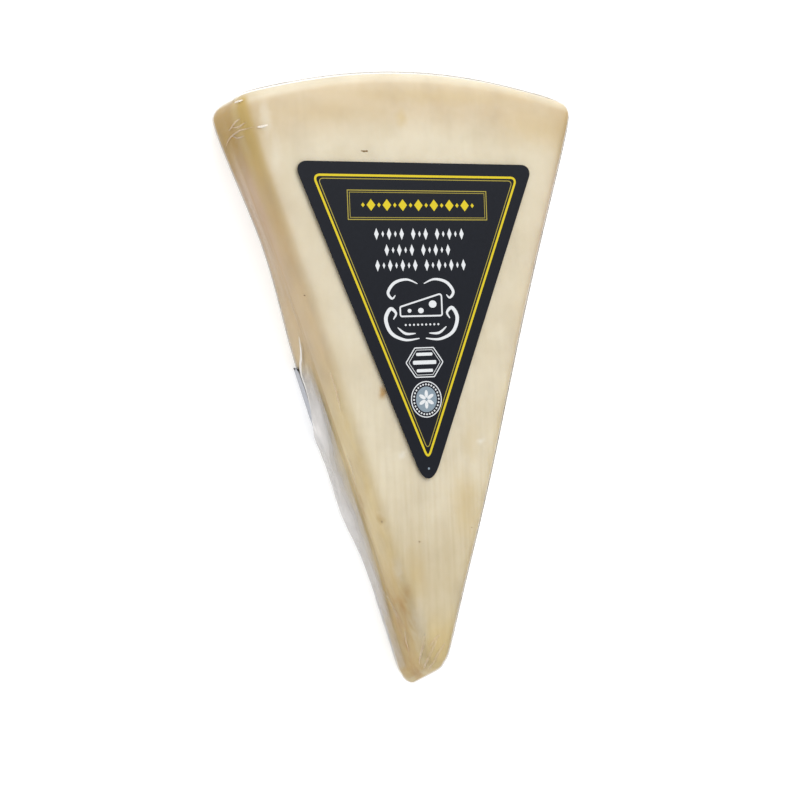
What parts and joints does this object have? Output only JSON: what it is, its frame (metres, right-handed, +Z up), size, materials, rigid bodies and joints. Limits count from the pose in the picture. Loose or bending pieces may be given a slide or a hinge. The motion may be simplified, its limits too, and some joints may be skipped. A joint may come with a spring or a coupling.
{
  "type": "cheddar wedge",
  "caption": "Wedge of white cheddar cheese in clear shrink film, with a dark three-sided label on its face and a white label folded round a back edge.",
  "frame": {"origin": "middle of the bounding box's base, on the surface that the wedge lies on", "axes": "+Z up through the labelled face, +Y from the thin tip towards the curved rind end, +X to the right seen from above"},
  "size_m": [0.0946, 0.1616, 0.0276],
  "materials": {
    "film_over_cheese": "glossy clear film tight over pale cheese",
    "front_print": "satin printed label",
    "back_print": "satin white label"
  },
  "bodies": {
    "root": {"wrapped_wedge": "film_over_cheese", "front_label": "front_print", "back_label": "back_print"}
  },
  "joints": []
}
